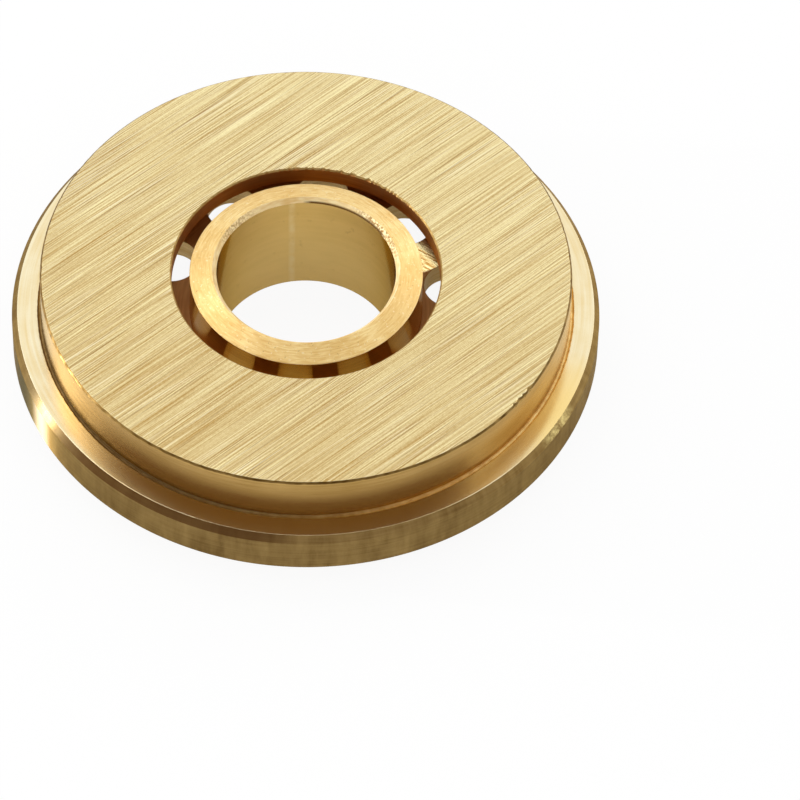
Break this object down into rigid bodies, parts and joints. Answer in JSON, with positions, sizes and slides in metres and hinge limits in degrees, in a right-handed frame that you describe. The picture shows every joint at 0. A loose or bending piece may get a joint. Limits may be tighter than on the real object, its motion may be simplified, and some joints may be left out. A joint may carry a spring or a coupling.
{
  "type": "pasta extrusion die",
  "caption": "Round flanged brass die for extruding smooth, wide pasta tubes: a brushed outlet face round a ring-shaped slot, with a hollow mandrel held by a pierced plate behind.",
  "frame": {"origin": "centre of the mandrel's tail end, the lowest face when the die lies on its back", "axes": "+Z along the die's axis, out of the outlet face; X and Y across it"},
  "size_m": [0.057, 0.057, 0.0125],
  "materials": {
    "body_brass": "linear brushed outlet face, turned and polished sides",
    "insert_brass": "fine turned"
  },
  "bodies": {
    "root": {"die_body": "body_brass", "mandrel_insert": "insert_brass"}
  },
  "joints": []
}
